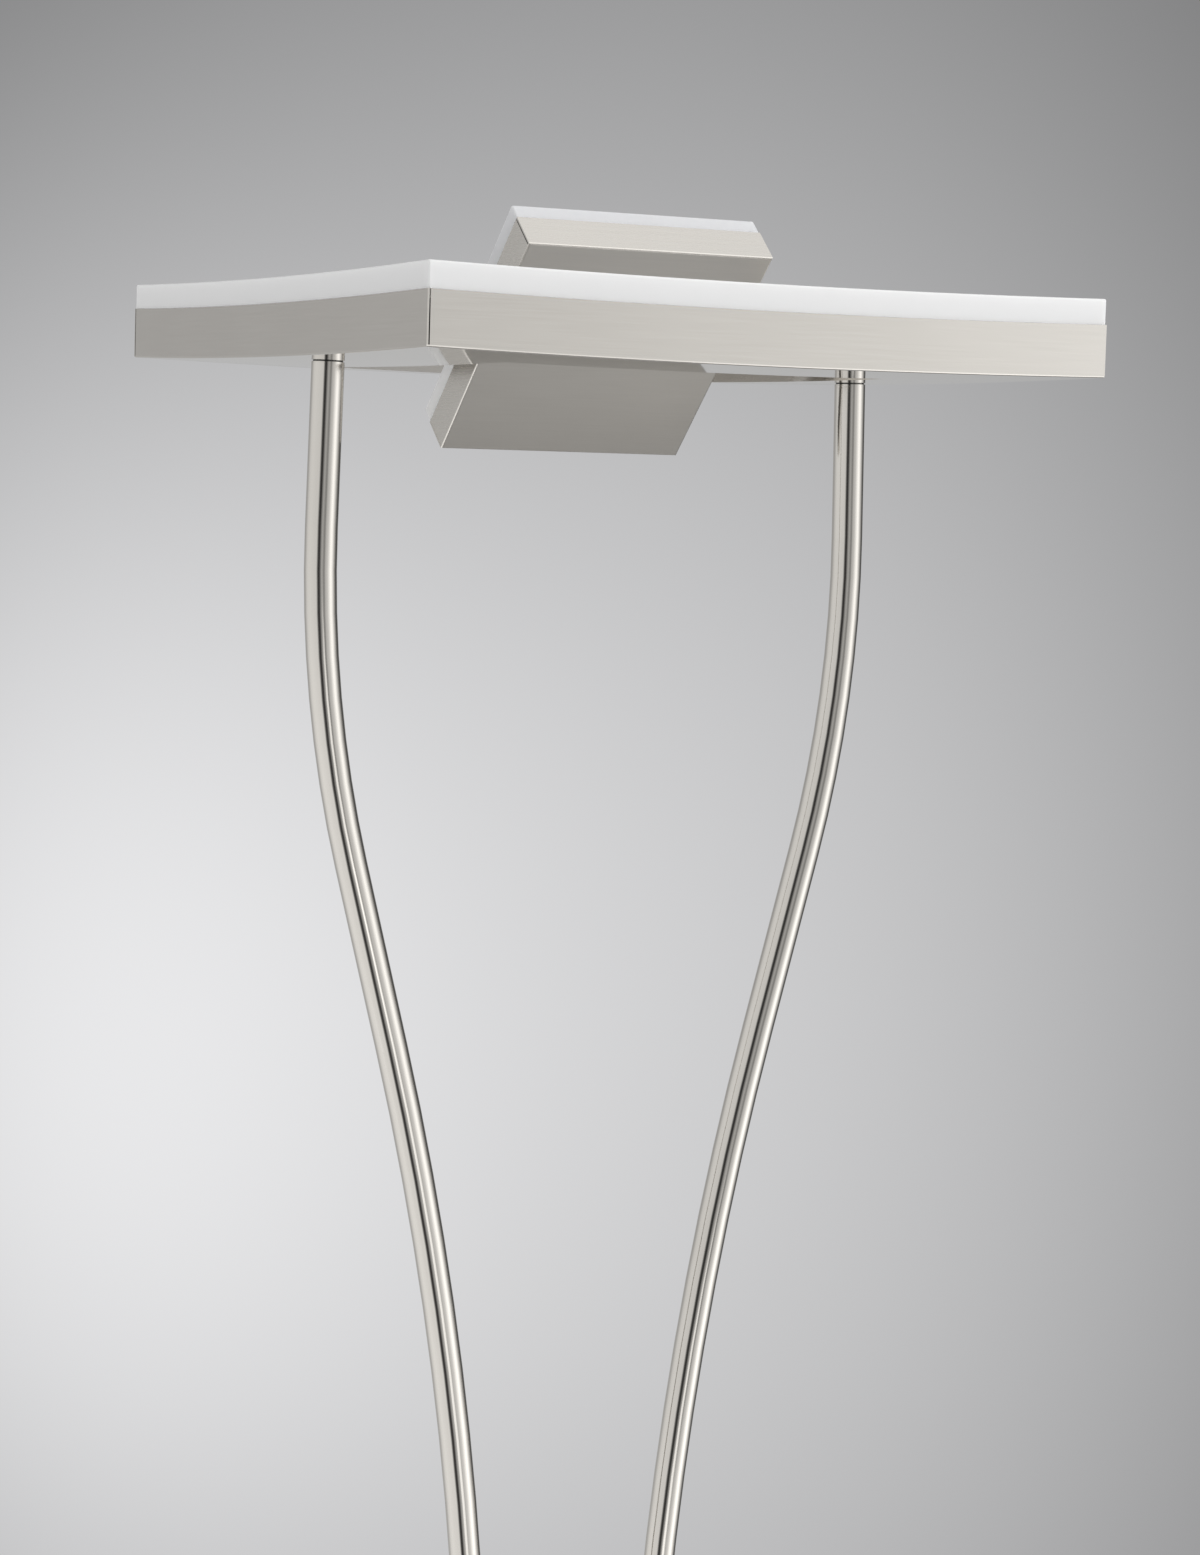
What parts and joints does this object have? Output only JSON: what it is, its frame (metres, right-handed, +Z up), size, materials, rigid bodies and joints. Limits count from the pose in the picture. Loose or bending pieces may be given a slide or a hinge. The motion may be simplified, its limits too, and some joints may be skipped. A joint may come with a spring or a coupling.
{
  "type": "torchiere floor lamp",
  "caption": "Floor lamp whose square ring head, with an opal lens, stands on S-curved tubes and a weighted foot; a square lamp panel tilts in the ring.",
  "frame": {"origin": "on the floor, under the middle of the foot", "axes": "+Z up, +X to the right tube as seen from the front, +Y to the back, where the cord comes in"},
  "size_m": [0.3556, 0.3556, 1.8139],
  "materials": {
    "satin_nickel": "satin nickel plate",
    "opal_lens": "opal acrylic",
    "nylon": "natural nylon",
    "black_plastic": "moulded",
    "white_plastic": "moulded",
    "iron": "as cast",
    "felt": "pressed felt",
    "aluminium_sheet": "mill",
    "light_board": "white solder mask",
    "brass": "turned",
    "zinc_steel": "zinc plate"
  },
  "bodies": {
    "stand": {"base_collar_left": "satin_nickel", "base_collar_right": "satin_nickel", "base_cover": "satin_nickel", "base_pad": "felt", "base_weight": "iron", "bottom_inserts": "zinc_steel", "bottom_nipples": "zinc_steel", "bottom_nuts": "zinc_steel", "bottom_washers": "zinc_steel", "carrier_screws": "zinc_steel", "carrier_standoffs": "brass", "collar_left": "satin_nickel", "collar_right": "satin_nickel", "cord_bushing": "black_plastic", "coupler_left": "zinc_steel", "coupler_right": "zinc_steel", "frame_led_boards": "light_board", "frame_lens": "opal_lens", "frame_tray": "satin_nickel", "led_carrier": "aluminium_sheet", "led_driver": "white_plastic", "pivot_bushing_left": "nylon", "pivot_bushing_right": "nylon", "pivot_stop_posts": "zinc_steel", "top_inserts": "zinc_steel", "top_nipples": "zinc_steel", "top_nuts": "zinc_steel", "top_washers": "zinc_steel", "tube_left_lower": "satin_nickel", "tube_left_upper": "satin_nickel", "tube_right_lower": "satin_nickel", "tube_right_upper": "satin_nickel"},
    "panel": {"panel_tray": "satin_nickel", "panel_lens": "opal_lens", "panel_led_board": "light_board", "pivot_shaft_left": "satin_nickel", "pivot_shaft_right": "satin_nickel", "pivot_panel_nuts": "zinc_steel", "pivot_friction_washers": "nylon", "pivot_tab_washers": "zinc_steel", "pivot_lock_nuts": "zinc_steel"}
  },
  "joints": [
    {"name": "panel_tilt", "type": "hinge", "parent": "stand", "child": "panel", "pos_m": [0, 0, 1.7526], "axis": [1, 0, 0], "range_deg": [-113, 206]}
  ]
}
